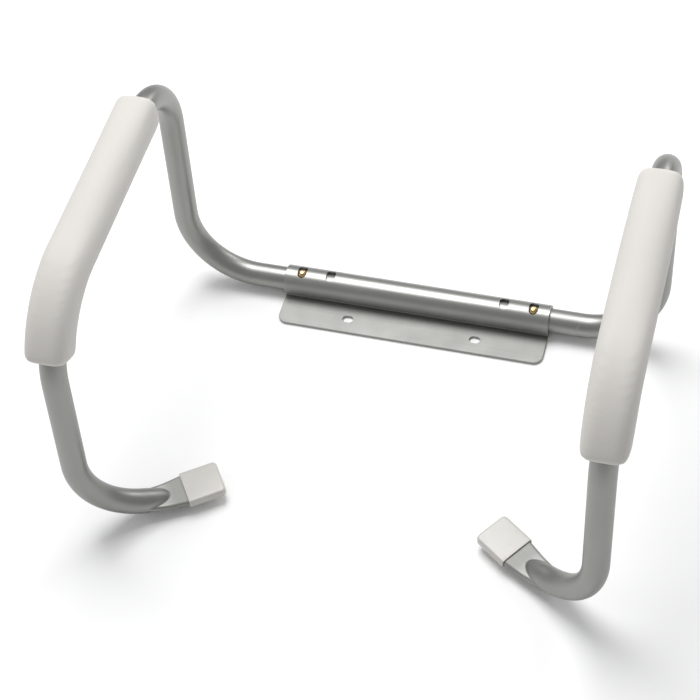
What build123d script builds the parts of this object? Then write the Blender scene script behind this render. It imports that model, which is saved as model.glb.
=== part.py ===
from build123d import *
import os
from math import cos, pi, radians, sin, sqrt

# Toilet safety frame: a bracket that bolts under the seat hinge, and two bent tube arms that
# plug into its sleeve and are held there by snap buttons.
# Millimetres. +Z is up and the front of the frame faces -Y. The origin is midway between the
# two seat bolt holes, on the underside of the flange, which is the plane the frame rests on.

# tube
tube_diameter = 25.4
tube_wall = 1.5

# bracket extrusion: a round sleeve with a flange along its front, flush at the bottom
sleeve_length = 290.0
sleeve_wall = 3.1
sleeve_fit = 0.08          # radial running clearance of the tube in the sleeve
sleeve_lead_in = 0.9       # chamfer of the bore at both ends
flange_thickness = 3.2
flange_reach = 49.1        # sleeve axis to the flange's front edge
flange_corner = 10.0
flange_edge_break = 0.6
flange_root_round = 0.8    # where the flange's top meets the sleeve
bolt_line = 31.75          # sleeve axis to the line of the two bolt holes
bolt_spacing = 139.7
bolt_hole_width = 8.8      # the holes are oblong along the flange
bolt_hole_length = 12.0

# snap buttons and the slots they lock into
button_diameter = 9.4
button_clearance = 0.3     # all round, in the slot's width and in the tube's hole
button_stand = 4.8         # above the tube when released
button_dome = 3.6
slot_inset = 18.0          # sleeve end to the outer slot
slot_pitch = 31.75         # outer slot to inner slot, one width setting
slot_length = 15.8         # round the sleeve
slot_setback = 9.0         # degrees from the button's middle to the slot's, to the rear
button_lean = 6.0          # degrees forward of straight up

# leaf spring that carries each button
leaf_thickness = 0.6
leaf_width = 8.0
leaf_wall_gap = 0.25       # leaf to the inside of the tube
leaf_end = 6.0             # flat length each side of the button's centre
leaf_reach = 38.0          # button's centre to the turned end
leaf_turn_radius = 2.5
leaf_turn_height = 3.25    # middle of the leaf to each corner of the turned end
leaf_bend_radius = 8.0     # where the flat length turns into the leg

# arms
arm_overhang = 109.0       # sleeve end to the plane of the armrest
tube_tail = 60.0           # button to the tube's end inside the sleeve
armrest_height = 285.6     # of the tube's axis, above the rest plane
rear_leg_lean = 33.4       # the rear leg's top stands this far behind its foot
armrest_length = 334.3     # corner to corner
front_leg_lean = 40.8      # the front leg's foot stands this far ahead of its top
foot_length = 141.0        # front leg to the flattened end
foot_turn = 35.0           # degrees that the foot points to the rear of straight inward
rear_bend_radius = 76.2    # sleeve to rear leg
rear_top_bend_radius = 63.5
front_bend_radius = 88.9
foot_bend_radius = 82.0
mark_offset = 30.0         # sleeve end to the short insertion mark on the tube's front
mark_width = 0.7
mark_depth = 0.3
mark_length = 5.0
mark_lean = 48.0           # degrees forward of straight up

# flattened end of the tube and its tip
flat_thickness = 7.0
flat_crown = 0.2           # rise of the flat faces at their middle
flare_length = 44.0
tip_length = 39.0
tip_wall = 1.5
tip_end_wall = 3.0
tip_corner = 5.0
tip_edge_round = 2.4
tip_fit = 0.05

# armrest pad
pad_side_wall = 10.3
pad_top_wall = 14.3
pad_under_wall = 3.3
pad_section_corner = 15.0
pad_end_round = 4.0        # the ends are cut square
pad_fit = 0.05
pad_rear_wrap = 6.0        # degrees that the pad follows the rear bend
pad_front_wrap = 62.0      # degrees that the pad follows the front bend

# cuts run this far past the surface they open, and edges are picked by size to this much
cut_past = 1.0
pick_tolerance = 0.01

# places worked out from the sizes above
tube_radius = tube_diameter / 2
bore_radius = tube_radius + sleeve_fit
sleeve_radius = bore_radius + sleeve_wall
sleeve_y = bolt_line
sleeve_z = sleeve_radius
outer_slot_x = sleeve_length / 2 - slot_inset
slot_width = button_diameter + 2 * button_clearance
arm_x = sleeve_length / 2 + arm_overhang


def leaning(degrees):
    """Direction that leans forward of straight up by degrees."""
    return Vector(0, -sin(radians(degrees)), cos(radians(degrees)))


lean_up = leaning(button_lean)

os.makedirs("parts", exist_ok=True)


def save(piece, label):
    piece.part.label = label
    export_step(piece.part, f"parts/{label}.step")


def upright_plane(x, lean):
    """Plane through the sleeve's axis at x, facing up and forward by lean degrees."""
    return Plane(origin=(x, sleeve_y, sleeve_z), x_dir=(1, 0, 0), z_dir=leaning(lean))


def arm_route(side):
    """Centreline of an arm, from the end inside the sleeve to the pressed end of the foot."""
    rear_top_y = sleeve_y + rear_leg_lean
    front_top_y = rear_top_y - armrest_length
    front_foot_y = front_top_y - front_leg_lean
    foot_in = foot_length * cos(radians(foot_turn))
    foot_back = foot_length * sin(radians(foot_turn))
    with BuildLine() as centreline:
        FilletPolyline(
            (side * (outer_slot_x - tube_tail), sleeve_y, sleeve_z),
            (side * arm_x, sleeve_y, sleeve_z),
            (side * arm_x, rear_top_y, armrest_height),
            (side * arm_x, front_top_y, armrest_height),
            (side * arm_x, front_foot_y, tube_radius),
            (side * (arm_x - foot_in), front_foot_y + foot_back, tube_radius),
            radius=[rear_bend_radius, rear_top_bend_radius, front_bend_radius, foot_bend_radius],
        )
    return centreline.wire()


def plane_across(route, distance):
    """Plane square to the route at a distance along it, with its x level with the foot."""
    level = route.tangent_at(1).cross(Vector(0, 0, 1))
    heading = route.tangent_at(distance / route.length)
    across = level - heading * level.dot(heading)
    return Plane(origin=route.position_at(distance / route.length), x_dir=across, z_dir=heading)


def pressed_width():
    """Full width of the pressed tube: its wall keeps its length round."""
    middle_girth = pi * (tube_diameter - tube_wall)
    middle_height = flat_thickness - tube_wall
    return middle_height + (middle_girth - pi * middle_height) / 2 + tube_wall


def pressed_section(plane, flatness, shrink=0.0):
    """Tube section between round (flatness 0) and pressed flat (flatness 1), as four arcs."""
    round_join = (tube_radius - shrink) * sqrt(0.5)
    flat_half_width = pressed_width() / 2 - shrink
    flat_half_height = flat_thickness / 2 - shrink
    flat_join_x = flat_half_width - flat_half_height
    flat_join_y = flat_half_height - flat_crown

    def between(round_size, flat_size):
        return round_size + (flat_size - round_size) * flatness

    side_x = between(tube_radius - shrink, flat_half_width)
    top_y = between(tube_radius - shrink, flat_half_height)
    join_x = between(round_join, flat_join_x)
    join_y = between(round_join, flat_join_y)
    with BuildSketch(plane) as section:
        with BuildLine():
            ThreePointArc((join_x, join_y), (0, top_y), (-join_x, join_y))
            ThreePointArc((-join_x, join_y), (-side_x, 0), (-join_x, -join_y))
            ThreePointArc((-join_x, -join_y), (0, -top_y), (join_x, -join_y))
            ThreePointArc((join_x, -join_y), (side_x, 0), (join_x, join_y))
        make_face()
    return section.sketch


# bracket: flange and sleeve in one extruded profile, then bored, drilled and slotted
crease_y = sleeve_y - sqrt(sleeve_radius**2 - (sleeve_radius - flange_thickness)**2)
with BuildPart() as bracket:
    with BuildSketch(Plane.YZ) as profile:
        with Locations((sleeve_y, sleeve_z)):
            Circle(sleeve_radius)
        with Locations((sleeve_y - flange_reach, 0)):
            Rectangle(flange_reach, flange_thickness, align=(Align.MIN, Align.MIN))
        crease = profile.vertices().sort_by_distance((crease_y, flange_thickness))[0]
        fillet(crease, flange_root_round)
    extrude(amount=sleeve_length / 2, both=True)
    fillet(bracket.edges().filter_by(Axis.Z).group_by(Axis.Y)[0], flange_corner)
    front_edges = bracket.edges().filter_by_position(
        Axis.Y, sleeve_y - flange_reach - cut_past, sleeve_y - flange_reach + flange_corner)
    fillet(front_edges.filter_by(
        lambda edge: abs(edge.length - flange_thickness) > pick_tolerance), flange_edge_break)
    with Locations(Plane(origin=(-sleeve_length / 2, sleeve_y, sleeve_z), z_dir=(-1, 0, 0))):
        Hole(bore_radius, depth=sleeve_length)
    bore_rims = bracket.edges().filter_by(GeomType.CIRCLE).filter_by(
        lambda edge: abs(edge.radius - bore_radius) < pick_tolerance)
    chamfer(bore_rims, sleeve_lead_in)
    with BuildSketch(Plane.XY):
        with GridLocations(bolt_spacing, 0, 2, 1):
            SlotOverall(bolt_hole_length, bolt_hole_width)
    extrude(amount=flange_thickness + cut_past, mode=Mode.SUBTRACT)
    for slot_x in (outer_slot_x, outer_slot_x - slot_pitch):
        for side in (-1, 1):
            with BuildSketch(upright_plane(side * slot_x, button_lean - slot_setback)):
                SlotOverall(slot_length, slot_width, rotation=90)
            extrude(amount=sleeve_radius + cut_past, mode=Mode.SUBTRACT)
save(bracket, "bracket")


def arm_bar(route, side, shrink):
    """An arm's tube as a solid bar, its surface moved in by shrink."""
    flare_start = route.length - tip_length - flare_length
    flare_end = route.length - tip_length
    with BuildPart() as bar:
        with BuildSketch(Plane(origin=route.position_at(0), z_dir=(side, 0, 0))):
            Circle(tube_radius - shrink)
        sweep(path=route.trim(0, flare_start / route.length))
        loft([
            pressed_section(plane_across(route, flare_start + flare_length * share), share, shrink)
            for share in (0, 0.5, 1)
        ])
        extrude(pressed_section(plane_across(route, flare_end), 1, shrink),
                amount=tip_length - tip_end_wall)
    return bar.part


for side, hand in ((-1, "left"), (1, "right")):
    route = arm_route(side)
    runs = route.edges().sort_by(route)
    button_x = side * outer_slot_x
    foot_mouth = plane_across(route, route.length - tip_length)

    # tube, bored through, with the button's hole and the short insertion mark
    tube_bar = arm_bar(route, side, 0)
    tube_hollow = arm_bar(route, side, tube_wall)
    with BuildPart() as arm_tube:
        add(tube_bar)
        add(tube_hollow, mode=Mode.SUBTRACT)
        with BuildSketch(upright_plane(button_x, button_lean)):
            Circle(button_diameter / 2 + button_clearance)
        extrude(amount=tube_radius + cut_past, mode=Mode.SUBTRACT)
        mark_x = side * (sleeve_length / 2 + mark_offset)
        with BuildSketch(upright_plane(mark_x, mark_lean).offset(tube_radius - mark_depth)):
            Rectangle(mark_width, mark_length)
        extrude(amount=cut_past, mode=Mode.SUBTRACT)
    save(arm_tube, f"{hand}_arm_tube")

    # pad, from the top of the rear bend, along the armrest and down over the front bend
    rear_end = sum(run.length for run in runs[:4]) - rear_top_bend_radius * radians(pad_rear_wrap)
    front_end = sum(run.length for run in runs[:5]) + front_bend_radius * radians(pad_front_wrap)
    pad_route = route.trim(rear_end / route.length, front_end / route.length)
    pad_width = tube_diameter + 2 * pad_side_wall
    pad_height = tube_diameter + pad_top_wall + pad_under_wall
    pad_rear = Plane(origin=pad_route.position_at(0), x_dir=(1, 0, 0),
                     z_dir=pad_route.tangent_at(0))
    with BuildPart() as arm_pad:
        with BuildSketch(pad_rear):
            with Locations((0, (pad_top_wall - pad_under_wall) / 2)):
                RectangleRounded(pad_width, pad_height, pad_section_corner)
        sweep(path=pad_route)
        with BuildSketch(pad_rear):
            Circle(tube_radius + pad_fit)
        sweep(path=pad_route, mode=Mode.SUBTRACT)
        pad_ends = arm_pad.faces().sort_by(Axis.Y)[-1:] + arm_pad.faces().sort_by(Axis.Z)[:1]
        for pad_end in pad_ends:
            fillet(pad_end.outer_wire().edges(), pad_end_round)
    save(arm_pad, f"{hand}_arm_pad")

    # tip: a soft cap over the pressed end of the tube
    tip_width = pressed_width() + 2 * tip_wall
    tip_height = flat_thickness + 2 * tip_wall
    with BuildPart() as foot_tip:
        with BuildSketch(foot_mouth):
            Rectangle(tip_width, tip_height)
        extrude(amount=tip_length)
        end_face = foot_tip.faces().sort_by_distance(route.position_at(1))[0]
        mouth_face = foot_tip.faces().sort_by_distance(foot_mouth.origin)[0]
        fillet(foot_tip.edges().filter_by(Axis.Z) & end_face.edges(), tip_corner)
        fillet(foot_tip.edges().filter_by(
            lambda edge: edge.length > tip_height + pick_tolerance)
            - mouth_face.edges(), tip_edge_round)
        extrude(pressed_section(foot_mouth, 1, -tip_fit), amount=tip_length - tip_end_wall,
                mode=Mode.SUBTRACT)
    save(foot_tip, f"{hand}_foot_tip")

    # snap button, standing on the leaf and reaching out through the slot
    leaf_top = sqrt((tube_radius - tube_wall)**2 - (leaf_width / 2)**2) - leaf_wall_gap
    with BuildPart() as snap_button:
        with BuildSketch(upright_plane(button_x, button_lean).offset(leaf_top)):
            Circle(button_diameter / 2)
        extrude(amount=tube_radius + button_stand - leaf_top)
        dome_edge = snap_button.edges().filter_by(GeomType.CIRCLE).sort_by(Axis.Z)[-1]
        fillet(dome_edge, button_dome)
    save(snap_button, f"{hand}_snap_button")

    # leaf spring: two legs joined by a turned end, further into the sleeve than the button
    leaf_plane = Plane(origin=upright_plane(button_x, button_lean).origin, x_dir=(-side, 0, 0),
                       z_dir=Vector(-side, 0, 0).cross(lean_up))
    leaf_height = leaf_top - leaf_thickness / 2
    with BuildPart() as button_spring:
        with BuildLine(leaf_plane) as leaf_line:
            FilletPolyline(
                (-leaf_end, leaf_height),
                (leaf_end, leaf_height),
                (leaf_reach, leaf_turn_height),
                (leaf_reach, -leaf_turn_height),
                (leaf_end, -leaf_height),
                (-leaf_end, -leaf_height),
                radius=[leaf_bend_radius, leaf_turn_radius, leaf_turn_radius, leaf_bend_radius],
            )
        leaf_start = Plane(origin=leaf_line.wire().position_at(0), x_dir=lean_up,
                           z_dir=(-side, 0, 0))
        with BuildSketch(leaf_start):
            Rectangle(leaf_thickness, leaf_width)
        sweep(path=leaf_line.wire())
    save(button_spring, f"{hand}_button_spring")
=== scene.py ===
import math

import bmesh
import bpy
from mathutils import Matrix, Vector


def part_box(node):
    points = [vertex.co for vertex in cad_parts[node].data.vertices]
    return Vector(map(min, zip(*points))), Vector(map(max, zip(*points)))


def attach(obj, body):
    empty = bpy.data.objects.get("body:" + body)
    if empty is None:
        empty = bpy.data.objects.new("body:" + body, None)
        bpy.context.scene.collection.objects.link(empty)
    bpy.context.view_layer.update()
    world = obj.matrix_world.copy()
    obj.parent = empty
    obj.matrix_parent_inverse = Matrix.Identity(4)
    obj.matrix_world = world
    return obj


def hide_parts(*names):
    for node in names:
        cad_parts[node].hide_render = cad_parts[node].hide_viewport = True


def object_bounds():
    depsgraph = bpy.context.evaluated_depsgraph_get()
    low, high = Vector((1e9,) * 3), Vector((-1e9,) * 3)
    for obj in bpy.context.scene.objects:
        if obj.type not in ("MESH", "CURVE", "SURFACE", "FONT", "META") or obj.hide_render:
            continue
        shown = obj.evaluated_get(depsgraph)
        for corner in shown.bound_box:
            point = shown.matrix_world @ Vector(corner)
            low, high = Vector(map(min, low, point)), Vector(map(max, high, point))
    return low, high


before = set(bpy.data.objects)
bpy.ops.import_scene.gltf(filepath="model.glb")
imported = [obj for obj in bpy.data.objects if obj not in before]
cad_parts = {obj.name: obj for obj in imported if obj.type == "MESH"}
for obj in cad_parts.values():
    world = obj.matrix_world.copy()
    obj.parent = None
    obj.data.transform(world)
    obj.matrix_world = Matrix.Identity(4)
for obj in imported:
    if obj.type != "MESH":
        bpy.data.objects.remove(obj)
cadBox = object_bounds()
print("frame loaded:", len(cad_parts), "CAD pieces")

sides = (("left", -1), ("right", 1))


# camera, looking down on the frame from its front right
mainView = {
    "azimuth": 21.9,
    "elevation": 52.5,
    "roll": -8.2,
    "distance": 1.7,
    "aim": (-0.004, -0.170, 0.186),
    "lens": 93.5,
    "clipEnd": 20,
}


def addCamera(look):
    data = bpy.data.cameras.new("camera")
    data.lens = look["lens"]
    data.clip_end = look["clipEnd"]
    camera = bpy.data.objects.new("camera", data)
    bpy.context.scene.collection.objects.link(camera)
    turn, rise, roll = (math.radians(look[key]) for key in ("azimuth", "elevation", "roll"))
    back = Vector((math.sin(turn) * math.cos(rise), -math.cos(turn) * math.cos(rise), math.sin(rise)))
    right = Vector((math.cos(turn), math.sin(turn), 0))
    up = back.cross(right)
    rolledRight = right * math.cos(roll) + up * math.sin(roll)
    rolledUp = up * math.cos(roll) - right * math.sin(roll)
    axes = Matrix((rolledRight, rolledUp, back)).transposed().to_4x4()
    camera.matrix_world = Matrix.Translation(Vector(look["aim"]) + back * look["distance"]) @ axes
    bpy.context.scene.camera = camera


addCamera(mainView)
print("camera placed")


# shader maths: an expression on these adds its Math nodes
class Value:
    def __init__(self, finish, socket):
        self.finish = finish
        self.socket = socket

    def maths(self, operation, first, second):
        node = self.finish.node("ShaderNodeMath", {"operation": operation}, {0: first, 1: second})
        return Value(self.finish, node.outputs[0])

    def __add__(self, other):
        return self.maths("ADD", self, other)

    def __radd__(self, other):
        return self.maths("ADD", other, self)

    def __sub__(self, other):
        return self.maths("SUBTRACT", self, other)

    def __rsub__(self, other):
        return self.maths("SUBTRACT", other, self)

    def __mul__(self, other):
        return self.maths("MULTIPLY", self, other)

    def __rmul__(self, other):
        return self.maths("MULTIPLY", other, self)


# one material, with its nodes
class Finish:
    def __init__(self, name, even):
        self.material = bpy.data.materials.new(name)
        self.material.use_nodes = True
        self.tree = self.material.node_tree
        self.shader = self.tree.nodes["Principled BSDF"]
        for key, value in even.items():  # the same all over the surface
            self.shader.inputs[key].default_value = value

    def node(self, kind, settings=None, inputs=None):
        made = self.tree.nodes.new(kind)
        for key, value in (settings or {}).items():
            if key == "stops":
                self.setStops(made.color_ramp, value)
            else:
                setattr(made, key, value)
        for key, value in (inputs or {}).items():
            self.feed(made.inputs[key], value)
        return made

    def feed(self, socket, value):
        if isinstance(value, Value):
            value = value.socket
        if isinstance(value, bpy.types.NodeSocket):
            self.tree.links.new(value, socket)
        else:
            socket.default_value = value

    def setStops(self, ramp, stops):
        while len(ramp.elements) < len(stops):
            ramp.elements.new(1)
        for element, (place, level) in zip(ramp.elements, stops):
            element.position = place
            element.color = (level, level, level, 1)

    def place(self, stretch=(1, 1, 1), attribute=None):
        if attribute:
            start = self.node("ShaderNodeAttribute", {"attribute_name": attribute}).outputs["Vector"]
        else:
            start = self.node("ShaderNodeTexCoord").outputs["Object"]
        scaled = self.node("ShaderNodeVectorMath", {"operation": "MULTIPLY"}, {0: start, 1: stretch})
        return scaled.outputs[0]

    def noise(self, where, scale, detail=3.0, roughness=0.55):
        node = self.node("ShaderNodeTexNoise", {"noise_dimensions": "3D"},
                         {"Vector": where, "Scale": scale, "Detail": detail, "Roughness": roughness})
        return Value(self, node.outputs[0])

    def cells(self, where, scale):
        node = self.node("ShaderNodeTexVoronoi", {"feature": "SMOOTH_F1"},
                         {"Vector": where, "Scale": scale, "Smoothness": 1.0})
        return Value(self, node.outputs["Distance"])

    def ramp(self, value, stops):
        node = self.node("ShaderNodeValToRGB", {"stops": stops}, {0: value})
        return Value(self, node.outputs[0])

    def fade(self, where, axis, start, end, low=0.0):
        # from low to 1 between two places along an axis
        along = self.node("ShaderNodeSeparateXYZ", None, {0: where}).outputs[axis]
        node = self.node("ShaderNodeMapRange", {"clamp": True},
                         {0: along, 1: start, 2: end, 3: low, 4: 1.0})
        return Value(self, node.outputs[0])

    def mixColours(self, factor, one, other):
        node = self.node("ShaderNodeMix", {"data_type": "RGBA"}, {0: factor, 6: one, 7: other})
        return node.outputs[2]

    def bump(self, height, relief):
        strength, distance = relief
        inputs = {"Strength": strength, "Distance": distance, "Height": height}
        return self.node("ShaderNodeBump", None, inputs).outputs[0]

    def finishWith(self, **links):
        names = {
            "colour": "Base Color",
            "roughness": "Roughness",
            "normal": "Normal",
            "coat": "Coat Weight",
        }
        for key, value in links.items():
            self.feed(self.shader.inputs[names[key]], value)
        return self.material


# in these, a scale counts features to the metre, and relief is a bump's strength and depth
satinTube = {
    "colour": (0.285, 0.286, 0.273, 1),
    "worn": (0.345, 0.346, 0.331, 1),
    "drawLines": (900, 900, 7),  # fine across the tube, long along it
    "clouds": 22.0,
    "speckle": 2600.0,
    "wearStops": ((0.42, 0), (0.72, 1)),
    "wear": 0.35,  # shares of the worn colour
    "lineWear": 0.3,
    "roughness": 0.42,
    "lineRoughness": 0.10,
    "cloudRoughness": 0.12,
    "lineHeight": 0.6,
    "speckleHeight": 0.4,
    "relief": (0.10, 0.0002),
    "pressFrom": 0.075,  # metres from the foot's end, where the press dulls the surface
    "pressTo": 0.050,
    "pressRoughness": 0.20,
}


def makeTubeMetal(look):
    finish = Finish("satinAnodisedTube", {"Metallic": 1.0})
    here = finish.place()
    lines = finish.noise(finish.place(look["drawLines"], "alongTube"), 1.0, 2.0)
    clouds = finish.noise(here, look["clouds"], 4.0)
    speckle = finish.noise(here, look["speckle"], 2.0)
    worn = finish.ramp(clouds, look["wearStops"])
    wear = worn * look["wear"] + lines * look["lineWear"]
    colour = finish.mixColours(wear, look["colour"], look["worn"])
    unbent = finish.place(attribute="alongTube")
    pressed = finish.fade(unbent, 2, look["pressFrom"], look["pressTo"])
    roughness = look["roughness"] + (lines - 0.5) * look["lineRoughness"]
    roughness = roughness + (clouds - 0.5) * look["cloudRoughness"]
    roughness = roughness + pressed * look["pressRoughness"]
    height = lines * look["lineHeight"] + speckle * look["speckleHeight"]
    normal = finish.bump(height, look["relief"])
    return finish.finishWith(colour=colour, roughness=roughness, normal=normal)


extrudedBracket = {
    "colour": (0.365, 0.366, 0.351, 1),
    "dull": (0.305, 0.306, 0.292, 1),
    "dieLines": (5, 1500, 1500),  # long along the extrusion
    "clouds": 30.0,
    "cloudDull": 0.8,
    "scuffs": 45.0,
    "scuffStretch": (1, 6, 6),
    "scuffStops": ((0.62, 0), (0.70, 1)),
    "roughness": 0.38,
    "flangeRoughness": 0.22,  # more on the flat flange
    "flangeFade": 0.004,
    "lineRoughness": 0.12,
    "cloudRoughness": 0.10,
    "scuffRoughness": 0.08,
    "scuffHeight": 0.3,
    "relief": (0.12, 0.0002),
}


def makeBracketMetal(look):
    finish = Finish("extrudedAluminium", {"Metallic": 1.0})
    here = finish.place()
    lines = finish.noise(finish.place(look["dieLines"]), 1.0, 2.0)
    clouds = finish.noise(here, look["clouds"], 4.0)
    marks = finish.noise(finish.place(look["scuffStretch"]), look["scuffs"], 5.0, 0.7)
    scuffs = finish.ramp(marks, look["scuffStops"])
    colour = finish.mixColours(clouds * look["cloudDull"], look["colour"], look["dull"])
    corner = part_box("bracket")[1]
    sleeveFront = corner.y - corner.z  # the sleeve is as deep as it is high
    flange = finish.fade(here, 1, sleeveFront + look["flangeFade"], sleeveFront)
    roughness = look["roughness"] + flange * look["flangeRoughness"]
    roughness = roughness + (lines - 0.5) * look["lineRoughness"]
    roughness = roughness + (clouds - 0.5) * look["cloudRoughness"]
    roughness = roughness + scuffs * look["scuffRoughness"]
    normal = finish.bump(lines + scuffs * look["scuffHeight"], look["relief"])
    return finish.finishWith(colour=colour, roughness=roughness, normal=normal)


skinnedFoam = {
    "colour": (0.625, 0.607, 0.575, 1),
    "shade": (0.575, 0.555, 0.520, 1),
    "clouds": 16.0,
    "cloudShade": 0.5,
    "pores": 2300.0,
    "poreStops": ((0.30, 0), (0.42, 1)),
    "poreShade": 0.35,
    "poreHeight": 0.15,
    "pebbles": 900.0,
    "pebbleHeight": 0.7,
    "creases": 520.0,
    "creaseHeight": 0.6,
    "roughness": 0.60,
    "creaseRoughness": 0.16,
    "cloudRoughness": 0.08,
    "relief": (0.45, 0.0004),
    "grainFrom": -0.1085,  # the grain deepens towards the front, between these two
    "grainTo": -0.279,
    "leastGrain": 0.35,
}


def makePadFoam(look):
    finish = Finish("selfSkinnedFoam", {"Specular IOR Level": 0.35})
    here = finish.place()
    pebbles = finish.cells(here, look["pebbles"])
    creases = finish.noise(here, look["creases"], 5.0, 0.6)
    pores = finish.ramp(finish.noise(here, look["pores"], 2.0), look["poreStops"])
    clouds = finish.noise(here, look["clouds"], 3.0)
    depth = finish.fade(here, 1, look["grainFrom"], look["grainTo"], look["leastGrain"])
    grain = (pebbles * look["pebbleHeight"] + creases * look["creaseHeight"]) * depth
    shade = clouds * look["cloudShade"] + (1 - pores) * look["poreShade"]
    colour = finish.mixColours(shade, look["colour"], look["shade"])
    roughness = look["roughness"] + (creases - 0.5) * look["creaseRoughness"]
    roughness = roughness + (clouds - 0.5) * look["cloudRoughness"]
    normal = finish.bump(grain + pores * look["poreHeight"], look["relief"])
    return finish.finishWith(colour=colour, roughness=roughness, normal=normal)


dippedVinyl = {
    "colour": (0.520, 0.505, 0.475, 1),
    "shade": (0.470, 0.453, 0.422, 1),
    "clouds": 60.0,
    "cloudShade": 0.7,
    "dimples": 700.0,
    "scuffs": 240.0,
    "scuffStops": ((0.58, 0), (0.66, 1)),
    "scuffShade": 0.2,
    "roughness": 0.34,
    "dimpleRoughness": 0.15,
    "scuffRoughness": 0.15,
    "coat": 0.25,
    "scuffCoat": 0.15,  # less coat where it's scuffed
    "relief": (0.12, 0.0003),
}


def makeTipVinyl(look):
    finish = Finish("dippedVinyl", {"Coat Roughness": 0.22})
    here = finish.place()
    clouds = finish.noise(here, look["clouds"], 3.0)
    dimples = finish.noise(here, look["dimples"], 3.0)
    scuffs = finish.ramp(finish.noise(here, look["scuffs"], 6.0, 0.75), look["scuffStops"])
    shade = clouds * look["cloudShade"] + scuffs * look["scuffShade"]
    colour = finish.mixColours(shade, look["colour"], look["shade"])
    roughness = look["roughness"] + (dimples - 0.5) * look["dimpleRoughness"]
    roughness = roughness + scuffs * look["scuffRoughness"]
    coat = look["coat"] - scuffs * look["scuffCoat"]
    normal = finish.bump(dimples, look["relief"])
    return finish.finishWith(colour=colour, roughness=roughness, normal=normal, coat=coat)


turnedBrass = {
    "colour": (0.60, 0.42, 0.20, 1),
    "tarnish": (0.30, 0.19, 0.08, 1),
    "clouds": 380.0,
    "tarnishStops": ((0.40, 0), (0.75, 0.8)),
    "toolRings": (400, 400, 4000),
    "roughness": 0.22,
    "cloudRoughness": 0.2,
    "ringRoughness": 0.08,
    "relief": (0.08, 0.0001),
}


def makeButtonBrass(look):
    finish = Finish("turnedBrass", {"Metallic": 1.0})
    clouds = finish.noise(finish.place(), look["clouds"], 4.0)
    rings = finish.noise(finish.place(look["toolRings"]), 1.0, 2.0)
    tarnish = finish.ramp(clouds, look["tarnishStops"])
    colour = finish.mixColours(tarnish, look["colour"], look["tarnish"])
    roughness = look["roughness"] + (clouds - 0.5) * look["cloudRoughness"]
    roughness = roughness + (rings - 0.5) * look["ringRoughness"]
    normal = finish.bump(rings, look["relief"])
    return finish.finishWith(colour=colour, roughness=roughness, normal=normal)


springStrip = {
    "colour": (0.42, 0.42, 0.43, 1),
    "blued": (0.25, 0.26, 0.30, 1),
    "clouds": 120.0,
    "cloudBlue": 0.6,
    "rollLines": (60, 2500, 2500),
    "roughness": 0.30,
    "lineRoughness": 0.2,
    "relief": (0.10, 0.0001),
}


def makeSpringSteel(look):
    finish = Finish("springSteelStrip", {"Metallic": 1.0})
    lines = finish.noise(finish.place(look["rollLines"]), 1.0, 2.0)
    clouds = finish.noise(finish.place(), look["clouds"], 3.0)
    colour = finish.mixColours(clouds * look["cloudBlue"], look["colour"], look["blued"])
    roughness = look["roughness"] + (lines - 0.5) * look["lineRoughness"]
    normal = finish.bump(lines, look["relief"])
    return finish.finishWith(colour=colour, roughness=roughness, normal=normal)


tubeMetal = makeTubeMetal(satinTube)
bracketMetal = makeBracketMetal(extrudedBracket)
padFoam = makePadFoam(skinnedFoam)
tipVinyl = makeTipVinyl(dippedVinyl)
buttonBrass = makeButtonBrass(turnedBrass)
springSteel = makeSpringSteel(springStrip)
print("materials made")


def dressNode(name, material):
    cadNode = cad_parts[name]
    cadNode.data.materials.clear()
    cadNode.data.materials.append(material)


dressNode("bracket", bracketMetal)
for hand, side in sides:
    dressNode(hand + "_snap_button", buttonBrass)
    dressNode(hand + "_button_spring", springSteel)


# the arm's centreline: straight runs joined by arcs, as the tube is bent
armTube = {
    "radius": 0.0127,
    "wall": 0.0015,
    "rearLegLean": 0.0334,
    "armrest": 0.3343,
    "frontLegLean": 0.0408,
    "foot": 0.141,
    "footTurn": 35.0,  # degrees
    "bends": (0.0762, 0.0635, 0.0889, 0.082),  # sleeve, rear top, front top, foot
    "ringStep": 0.004,
    "boreStep": 3,  # rings of the outside to one of the bore
    "around": 96,
    "endRound": 0.0004,
}
footEnd = {
    "tipLength": 0.039,
    "tubeIn": 0.036,  # how far the tube reaches into the tip
    "flare": 0.044,
    "nose": 0.030,  # length of the rounded nose that the press leaves
    "noseBlunt": 1.9,
    "flatHalfWidth": 0.01795,
    "flatHalfHeight": 0.0035,
    "edgeRound": 0.0033,
    "blend": 0.0022,
    "leastBlend": 1e-7,
    "edgeFade": 1e-5,
    "settle": 0.006,  # over which the plate's edge comes out of the round tube
    "ringStep": 0.0008,
}


def armCorners(side, hand):
    low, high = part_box(hand + "_arm_tube")
    bracketLow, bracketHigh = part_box("bracket")
    sleeveRadius = (bracketHigh.z - bracketLow.z) / 2
    sleeveY = bracketHigh.y - sleeveRadius
    outer = max(abs(low.x), abs(high.x)) - armTube["radius"]
    inner = min(abs(low.x), abs(high.x))
    top = high.z - armTube["radius"]
    rearY = sleeveY + armTube["rearLegLean"]
    frontY = rearY - armTube["armrest"]
    footY = frontY - armTube["frontLegLean"]
    turn = math.radians(armTube["footTurn"])
    inward = armTube["foot"] * math.cos(turn)
    rearward = armTube["foot"] * math.sin(turn)
    return [
        Vector((side * inner, sleeveY, sleeveRadius)),
        Vector((side * outer, sleeveY, sleeveRadius)),
        Vector((side * outer, rearY, top)),
        Vector((side * outer, frontY, top)),
        Vector((side * outer, footY, armTube["radius"])),
        Vector((side * (outer - inward), footY + rearward, armTube["radius"])),
    ]


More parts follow.
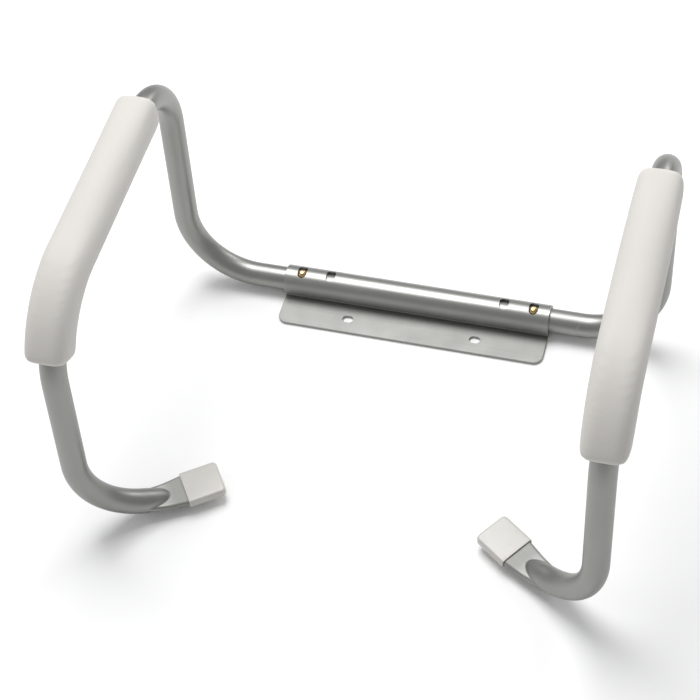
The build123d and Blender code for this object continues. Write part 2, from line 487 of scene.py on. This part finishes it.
class Route:
    # runs and arcs, asked for a point and a heading at a distance
    def __init__(self, corners, bends):
        self.spans = []
        self.length = 0
        here = corners[0]
        for before, corner, after, radius in zip(corners, corners[1:], corners[2:], bends):
            arriving = (corner - before).normalized()
            leaving = (after - corner).normalized()
            turn = arriving.angle(leaving)
            tangent = radius * math.tan(turn / 2)
            start = corner - arriving * tangent
            self.addRun(here, start)
            axis = arriving.cross(leaving).normalized()
            centre = start + axis.cross(arriving) * radius
            self.addSpan(("arc", centre, start - centre, axis, arriving, turn), radius * turn)
            here = corner + leaving * tangent
        self.addRun(here, corners[-1])

    def addRun(self, start, end):
        self.addSpan(("run", start, (end - start).normalized()), (end - start).length)

    def addSpan(self, span, length):
        self.spans.append((self.length, self.length + length, span))
        self.length += length

    def at(self, distance):
        for start, end, span in self.spans:
            if distance <= end or end == self.length:
                break
        if span[0] == "run":
            return span[1] + span[2] * (distance - start), span[2]
        centre, arm, axis, heading, turn = span[1:]
        turned = Matrix.Rotation(turn * (distance - start) / (end - start), 3, axis)
        return centre + turned @ arm, turned @ heading


def distancesAlong(start, end, step):
    count = max(1, math.ceil((end - start) / step))
    return [start + (end - start) * i / count for i in range(count + 1)]


def carriedFrames(route, distances):
    # frames that don't twist, worked back from the foot, where up is up
    heading = route.at(route.length)[1]
    up = Vector((0, 0, 1))
    frames = []
    for distance in reversed(distances):
        point, now = route.at(distance)
        up = heading.rotation_difference(now) @ up
        up = (up - now * up.dot(now)).normalized()
        heading = now
        frames.append((point, up.cross(now), up))
    return frames[::-1]


def makeMesh(name, rings, material, loop=False, attribute=None):
    # skin over a row of rings with equal counts of points; a loop joins its last ring to its first
    count = len(rings[0])
    points = [point for ring in rings for point in ring]
    faces = []
    last = len(rings) if loop else len(rings) - 1
    for i in range(last):
        a, b = i * count, (i + 1) % len(rings) * count
        for j in range(count):
            k = (j + 1) % count
            faces.append((a + j, a + k, b + k, b + j))
    if not loop:
        faces.append(tuple(reversed(range(count))))
        faces.append(tuple(range((len(rings) - 1) * count, len(rings) * count)))
    mesh = bpy.data.meshes.new(name)
    mesh.from_pydata(points, [], faces)
    if attribute:
        label, places = attribute
        store = mesh.attributes.new(label, "FLOAT_VECTOR", "POINT")
        store.data.foreach_set("vector", [number for place in places for number in place])
    made = bmesh.new()
    made.from_mesh(mesh)
    bmesh.ops.recalc_face_normals(made, faces=made.faces)
    made.to_mesh(mesh)
    made.free()
    mesh.polygons.foreach_set("use_smooth", [True] * len(mesh.polygons))
    piece = bpy.data.objects.new(name, mesh)
    bpy.context.scene.collection.objects.link(piece)
    mesh.materials.append(material)
    return piece


def softMax(one, other, blend):
    gap = max(blend - abs(one - other), 0) / blend
    return max(one, other) + gap * gap * blend / 4


def turnsRound(count):
    return [2 * math.pi * i / count for i in range(count)]


def pressedSection(past, inset):
    # points round the tube, as (across, up), at a distance past the start of the flare
    radius = armTube["radius"]
    share = min(max(past / footEnd["flare"], 0), 1)
    halfWidth = radius + (footEnd["flatHalfWidth"] - radius) * share
    flat = footEnd["flatHalfHeight"]
    noseLeft = 1 - min(max(past, 0) / footEnd["nose"], 1) ** footEnd["noseBlunt"]
    edgeRound = footEnd["edgeRound"]
    points = []
    for angle in turnsRound(armTube["around"]):
        across = halfWidth * math.cos(angle)
        height = radius * abs(math.sin(angle))
        if past > 0:
            fromEdge = halfWidth - abs(across)
            dip = max(edgeRound - fromEdge, 0)
            edge = flat - edgeRound + math.sqrt(max(edgeRound**2 - dip**2, 0))
            nose = math.sqrt(max(radius**2 * noseLeft - across**2, 0))
            settle = min(past / footEnd["settle"], 1)
            height = softMax(nose, edge * settle, footEnd["blend"] * settle + footEnd["leastBlend"])
            height *= min(1, fromEdge / footEnd["edgeFade"])
        points.append((across, math.copysign(height, math.sin(angle))))
    halfHeight = max(up for across, up in points)
    return [(across * (halfWidth - inset) / halfWidth, up * (halfHeight - inset) / halfHeight)
            for across, up in points]


def makeArmTube(hand, side):
    route = Route(armCorners(side, hand), armTube["bends"])
    flareStart = route.length - footEnd["tipLength"] - footEnd["flare"]
    tubeEnd = route.length - footEnd["tipLength"] + footEnd["tubeIn"]
    flareEnd = flareStart + footEnd["flare"]
    distances = distancesAlong(0, flareStart, armTube["ringStep"])
    distances += distancesAlong(flareStart, flareEnd, footEnd["ringStep"])[1:]
    distances += distancesAlong(flareEnd, tubeEnd, armTube["ringStep"])[1:]
    frames = carriedFrames(route, distances)
    rings, unbent = [], []  # the second holds each point's place before bending, for the finish

    def addRing(index, inset):
        point, across, up = frames[index]
        section = pressedSection(distances[index] - flareStart, inset)
        rings.append([point + across * a + up * u for a, u in section])
        unbent.extend((a, u, route.length - distances[index]) for a, u in section)

    last = len(distances) - 1
    for index in range(len(distances)):
        addRing(index, armTube["endRound"] if index == 0 else 0)
    for index in reversed(list(range(0, last, armTube["boreStep"])) + [last]):
        addRing(index, armTube["wall"])
    piece = makeMesh(hand + "ArmTube", rings, tubeMetal, loop=True, attribute=("alongTube", unbent))
    print(piece.name, "rings", len(rings), "route", round(route.length, 4))
    return piece, route


armPieces = {}
for hand, side in sides:
    armPieces[hand] = makeArmTube(hand, side)
print("arm tubes swept")


# the button's hole, square to the tube under the slot, and the short mark on the tube's front
buttonHole = {
    "clearance": 0.0003,
    "around": 48,
    "lean": 6.0,  # degrees forward of straight up
    "reach": (-0.5, 1),  # from and to, in tube radii from the button's middle
}
tubeMark = {
    "pastSleeve": 0.03,
    "width": 0.0008,
    "length": 0.005,
    "depth": 0.00035,
    "floorShare": 0.3,  # of the width, at the bottom of the groove
    "pastSurface": 1.02,  # where the cutter ends, in tube radii
    "lean": 48.0,
}


def cutWith(piece, cutter):
    cut = piece.modifiers.new("cut", "BOOLEAN")
    cut.operation = "DIFFERENCE"
    cut.solver = "EXACT"
    cut.object = cutter
    bakeModifiers(piece)
    bpy.data.objects.remove(cutter)


def bakeModifiers(piece):
    graph = bpy.context.evaluated_depsgraph_get()
    fixed = bpy.data.meshes.new_from_object(piece.evaluated_get(graph))
    piece.modifiers.clear()
    piece.data = fixed


def leaningAxes(degrees):
    lean = math.radians(degrees)
    up = Vector((0, -math.sin(lean), math.cos(lean)))
    across = Vector((0, math.cos(lean), math.sin(lean)))
    return up, across


def cutButtonHole(piece, hand):
    low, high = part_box(hand + "_snap_button")
    radius = (high.x - low.x) / 2 + buttonHole["clearance"]
    up, across = leaningAxes(buttonHole["lean"])
    along = Vector((1, 0, 0))
    middle = Vector(((low.x + high.x) / 2, (low.y + high.y) / 2, (low.z + high.z) / 2))
    rings = []
    for share in buttonHole["reach"]:
        centre = middle + up * armTube["radius"] * share
        rings.append([centre + along * radius * math.cos(turn) + across * radius * math.sin(turn)
                      for turn in turnsRound(buttonHole["around"])])
    cutWith(piece, makeMesh("holeCutter", rings, tubeMetal))


def cutMark(piece, route):
    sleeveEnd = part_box("bracket")[1].x
    tubeStart = abs(route.at(0)[0].x)
    middle = route.at(sleeveEnd + tubeMark["pastSleeve"] - tubeStart)[0]
    up, across = leaningAxes(tubeMark["lean"])
    along = Vector((1, 0, 0))
    half = tubeMark["width"] / 2
    reach = tubeMark["length"] / 2
    groove = (
        (armTube["radius"] - tubeMark["depth"], half * tubeMark["floorShare"]),
        (armTube["radius"] * tubeMark["pastSurface"], half),
    )
    rings = []
    for height, wide in groove:
        corners = ((-wide, -reach), (wide, -reach), (wide, reach), (-wide, reach))
        rings.append([middle + up * height + along * a + across * u for a, u in corners])
    cutWith(piece, makeMesh("markCutter", rings, tubeMetal))


for hand, side in sides:
    tube, route = armPieces[hand]
    cutButtonHole(tube, hand)
    cutMark(tube, route)
print("button holes and marks cut")


# foam pads: a soft closed form, swollen by cloth pressure, then bored for the tube
armPad = {
    "rearWrap": 6.0,  # degrees round the rear bend
    "frontWrap": 62.0,
    "halfWidth": 0.023,
    "above": 0.027,
    "below": 0.016,
    "corner": 0.0140,
    "leastCorner": 0.002,
    "endRound": 0.0040,
    "endSteps": 6,
    "endCrown": 0.0006,
    "endCaps": (0.75, 0.45, 0.15),  # shares of the end's size
    "shrink": 0.0016,
    "mostSwell": 0.0021,
    "voxel": 0.004,
    "pressure": 4.0,
    "frames": 20,
    "smoothings": 3,
    "bore": 0.0128,
    "boreOver": 3,  # voxels past each end
    "around": 72,
    "fill": 0.95,
}
cornerLimit = 0.999  # of the half size, so that a corner's runs keep a length


def roundedSection(halfWidth, above, below, corner, count):
    # evenly spaced points round a rounded rectangle, as (across, up)
    corner = min(corner, halfWidth * cornerLimit, (above + below) / 2 * cornerLimit)
    width, height = halfWidth - corner, (above + below) / 2 - corner
    lift = (above - below) / 2
    quarter = corner * math.pi / 2
    lengths = [height, quarter, 2 * width, quarter, 2 * height, quarter, 2 * width, quarter, height]
    total = sum(lengths)
    points = []
    for i in range(count):
        left = total * i / count
        for index, length in enumerate(lengths):
            if left <= length:
                break
            left -= length
        if index in (0, 4, 8):
            sign = 1 if index != 4 else -1
            start = {0: 0, 4: height, 8: -height}[index]
            place = (sign * (width + corner), start + (left if index != 4 else -left))
        elif index in (2, 6):
            sign = 1 if index == 2 else -1
            place = (sign * (width - left), sign * (height + corner))
        else:
            middle = {
                1: (width, height),
                3: (-width, height),
                5: (-width, -height),
                7: (width, -height),
            }[index]
            angle = math.radians((index - 1) * 45) + left / corner
            place = (middle[0] + corner * math.cos(angle), middle[1] + corner * math.sin(angle))
        points.append((place[0], place[1] + lift))
    return points


def padForm(hand, route, start, end):
    shrink, rounding = armPad["shrink"], armPad["endRound"]
    start, end = start + shrink, end - shrink
    rings = []
    turns = [math.pi / 2 * i / armPad["endSteps"] for i in range(armPad["endSteps"])]
    places = [(start + rounding * (1 - math.cos(t)), rounding * (1 - math.sin(t))) for t in turns]
    places += [(d, 0) for d in distancesAlong(start + rounding, end - rounding, armTube["ringStep"])]
    places += [(end - rounding * (1 - math.cos(t)), rounding * (1 - math.sin(t))) for t in reversed(turns)]
    for distance, inset in places:
        point, heading = route.at(distance)
        across = Vector((1, 0, 0))
        up = heading.cross(across)
        up = up if up.z - up.y > 0 else -up
        inset += shrink
        corner = max(armPad["corner"] - inset, armPad["leastCorner"])
        section = roundedSection(armPad["halfWidth"] - inset, armPad["above"] - inset,
                                 armPad["below"] - inset, corner, armPad["around"])
        rings.append([point + across * a + up * u for a, u in section])
    for place, direction in ((0, -1), (-1, 1)):  # crowned ends
        middle = sum(rings[place], Vector()) / armPad["around"]
        outward = route.at(start if place == 0 else end)[1] * direction
        caps = []
        for share in armPad["endCaps"]:
            rise = outward * armPad["endCrown"] * (1 - share * share)
            caps.append([middle + (point - middle) * share + rise for point in rings[place]])
        rings = caps[::-1] + rings if place == 0 else rings + caps
    return makeMesh(hand + "ArmPad", rings, padFoam)


def swell(piece):
    remesh = piece.modifiers.new("remesh", "REMESH")
    remesh.mode = "VOXEL"
    remesh.voxel_size = armPad["voxel"]
    bakeModifiers(piece)
    rest = [v.co.copy() for v in piece.data.vertices]
    cloth = piece.modifiers.new("cloth", "CLOTH")
    cloth.settings.use_pressure = True
    cloth.settings.uniform_pressure_force = armPad["pressure"]
    cloth.settings.effector_weights.gravity = 0
    scene = bpy.context.scene
    for number in range(1, armPad["frames"] + 1):
        scene.frame_set(number)
        bpy.context.view_layer.update()
    bakeModifiers(piece)
    scene.frame_set(1)
    for vertex, before in zip(piece.data.vertices, rest):
        moved = vertex.co - before
        if moved.length > armPad["mostSwell"]:
            vertex.co = before + moved.normalized() * armPad["mostSwell"]
    smooth = piece.modifiers.new("smooth", "SMOOTH")
    smooth.iterations = armPad["smoothings"]
    finer = piece.modifiers.new("finer", "SUBSURF")
    finer.levels = 1
    finer.render_levels = 1
    bakeModifiers(piece)


def borePad(piece, route, start, end):
    rings = []
    past = armPad["voxel"] * armPad["boreOver"]
    for distance in distancesAlong(start - past, end + past, armTube["ringStep"]):
        point, heading = route.at(distance)
        across = Vector((1, 0, 0))
        up = heading.cross(across)
        rings.append([point + (across * math.cos(turn) + up * math.sin(turn)) * armPad["bore"]
                      for turn in turnsRound(armTube["around"])])
    cutWith(piece, makeMesh("boreCutter", rings, padFoam))


rearBend, armrestRun = 3, 4  # among the route's spans

padPieces = {}
for hand, side in sides:
    route = armPieces[hand][1]
    rearRadius, frontRadius = armTube["bends"][1:3]
    rearEnd = route.spans[rearBend][1] - rearRadius * math.radians(armPad["rearWrap"])
    frontEnd = route.spans[armrestRun][1] + frontRadius * math.radians(armPad["frontWrap"])
    pad = padForm(hand, route, rearEnd, frontEnd)
    swell(pad)
    borePad(pad, route, rearEnd, frontEnd)
    pad.data.polygons.foreach_set("use_smooth", [True] * len(pad.data.polygons))
    padPieces[hand] = pad
    print(pad.name, "faces", len(pad.data.polygons))
print("pads made")


# tips: soft caps over the pressed ends, with a rolled lip at the mouth
footTip = {
    "halfWidth": 0.01945,
    "halfHeight": 0.005,
    "wall": 0.0014,
    "corner": 0.0025,
    "planCorner": 0.005,
    "edgeRound": 0.0024,
    "lip": 0.0005,
    "lipSteps": 6,
    "crown": 0.0003,
    "around": 96,
    "pocketCorner": 0.5,  # as a share of the corner
    "pocketCaps": (0.2, 0.6, 1),  # shares of the pocket's size, at its blind end
    "pocketCapDepth": 0.003,  # in from the tip's end
    "pocketDepth": 0.004,
    "pocketStep": 0.004,
    "outsideStep": 0.003,
    "endSteps": 12,
    "endCaps": (0.8, 0.4, 0.1),
    "endCorner": 0.001,
    "edgeCorner": 0.5,  # corner lost to each unit of edge round
}


def makeFootTip(hand, route):
    tipEnd = route.length
    mouth = tipEnd - footEnd["tipLength"]
    heading = route.at(tipEnd)[1]
    up = Vector((0, 0, 1))
    across = up.cross(heading)
    rings = []

    def addRing(distance, halfWidth, halfHeight, corner):
        centre = route.at(distance)[0]
        ring = []
        for a, u in roundedSection(halfWidth, halfHeight, halfHeight, corner, footTip["around"]):
            crown = math.copysign(footTip["crown"], u) * (1 - (a / halfWidth) ** 2) * abs(u) / halfHeight
            ring.append(centre + across * a + up * (u + crown))
        rings.append(ring)

    width, height, corner = footTip["halfWidth"], footTip["halfHeight"], footTip["corner"]
    innerWidth, innerHeight = width - footTip["wall"], height - footTip["wall"]
    innerCorner = corner * footTip["pocketCorner"]
    blindEnd = tipEnd - footTip["pocketCapDepth"]
    for share in footTip["pocketCaps"]:
        addRing(blindEnd, innerWidth * share, innerHeight * share, innerCorner * share)
    lip = footTip["lip"]
    for distance in distancesAlong(tipEnd - footTip["pocketDepth"], mouth + lip, footTip["pocketStep"]):
        addRing(distance, innerWidth, innerHeight, innerCorner)
    for step in range(footTip["lipSteps"] + 1):  # rolled lip
        angle = math.pi * step / footTip["lipSteps"]
        out = (1 - math.cos(angle)) / 2
        addRing(mouth + lip - lip * math.sin(angle), innerWidth + (width - innerWidth) * out,
                innerHeight + (height - innerHeight) * out, corner)
    planCorner, edgeRound = footTip["planCorner"], footTip["edgeRound"]
    for distance in distancesAlong(mouth + lip * 2, tipEnd - planCorner, footTip["outsideStep"]):
        addRing(distance, width, height, corner)
    for step in range(1, footTip["endSteps"] + 1):  # rounded end
        angle = math.pi / 2 * step / footTip["endSteps"]
        left = planCorner * (1 - math.sin(angle))
        plan = planCorner * (1 - math.cos(angle))
        dip = max(edgeRound - left, 0)
        edge = edgeRound - math.sqrt(max(edgeRound**2 - dip**2, 0))
        endCorner = max(corner - edge * footTip["edgeCorner"], footTip["endCorner"])
        addRing(tipEnd - left, width - plan, height - edge, endCorner)
    lastWidth, lastHeight = width - planCorner, height - edgeRound
    for share in footTip["endCaps"]:
        addRing(tipEnd, lastWidth * share, lastHeight * share, footTip["endCorner"] * share)
    return makeMesh(hand + "FootTip", rings, tipVinyl)


for hand, side in sides:
    tube, route = armPieces[hand]
    pad = padPieces[hand]
    tip = makeFootTip(hand, route)
    riders = (
        (tube, "_arm_tube", "tube_aluminium"),
        (pad, "_arm_pad", "pad_foam"),
        (tip, "_foot_tip", "tip_vinyl"),
    )
    for piece, node, slot in riders:
        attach(piece, hand + "_arm")
        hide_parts(hand + node)
print("tips made, pieces riding")


# stage: pale floor, a large softbox overhead and weaker ones round it
studio = {
    "floor": (0.96, 0.96, 0.96, 1),
    "floorRoughness": 0.9,
    "floorHalf": 12,
    "floorCells": 8,
    "floorGap": 0.0002,
    "floorSpecular": 0.2,
    "floorClouds": 3.0,
    "floorVariation": 0.05,
    "surroundings": (0.42, 0.422, 0.425, 1),
    "surroundingStrength": 1.0,
    "lights": (
        # place, size, power
        ((-0.70, 0.95, 3.0), 1.8, 84.0),
        ((0.9, 2.2, 1.5), 1.0, 14.0),
        ((-2.0, -0.9, 1.1), 1.0, 4.0),
    ),
    "aim": (0, -0.1, 0.1),
}


def makeStage(look):
    floorMade = bmesh.new()
    cells = look["floorCells"]
    bmesh.ops.create_grid(floorMade, x_segments=cells, y_segments=cells, size=look["floorHalf"])
    mesh = bpy.data.meshes.new("floor")
    floorMade.to_mesh(mesh)
    floorMade.free()
    floor = bpy.data.objects.new("floor", mesh)
    floor.location.z = cadBox[0].z - look["floorGap"]
    bpy.context.scene.collection.objects.link(floor)
    finish = Finish("paleFloor", {"Specular IOR Level": look["floorSpecular"]})
    clouds = finish.noise(finish.place(), look["floorClouds"])
    roughness = look["floorRoughness"] + clouds * look["floorVariation"]
    mesh.materials.append(finish.finishWith(colour=look["floor"], roughness=roughness))
    for place, size, power in look["lights"]:
        data = bpy.data.lights.new("softbox", "AREA")
        data.shape = "SQUARE"
        data.size = size
        data.energy = power
        light = bpy.data.objects.new("softbox", data)
        light.location = place
        toward = Vector(look["aim"]) - Vector(place)
        light.rotation_mode = "QUATERNION"
        light.rotation_quaternion = toward.to_track_quat("-Z", "Y")
        bpy.context.scene.collection.objects.link(light)
    world = bpy.data.worlds.new("surroundings")
    world.use_nodes = True
    background = world.node_tree.nodes["Background"]
    background.inputs[0].default_value = look["surroundings"]
    background.inputs[1].default_value = look["surroundingStrength"]
    bpy.context.scene.world = world
    bpy.context.scene.view_settings.view_transform = "Standard"


makeStage(studio)
print("stage set")
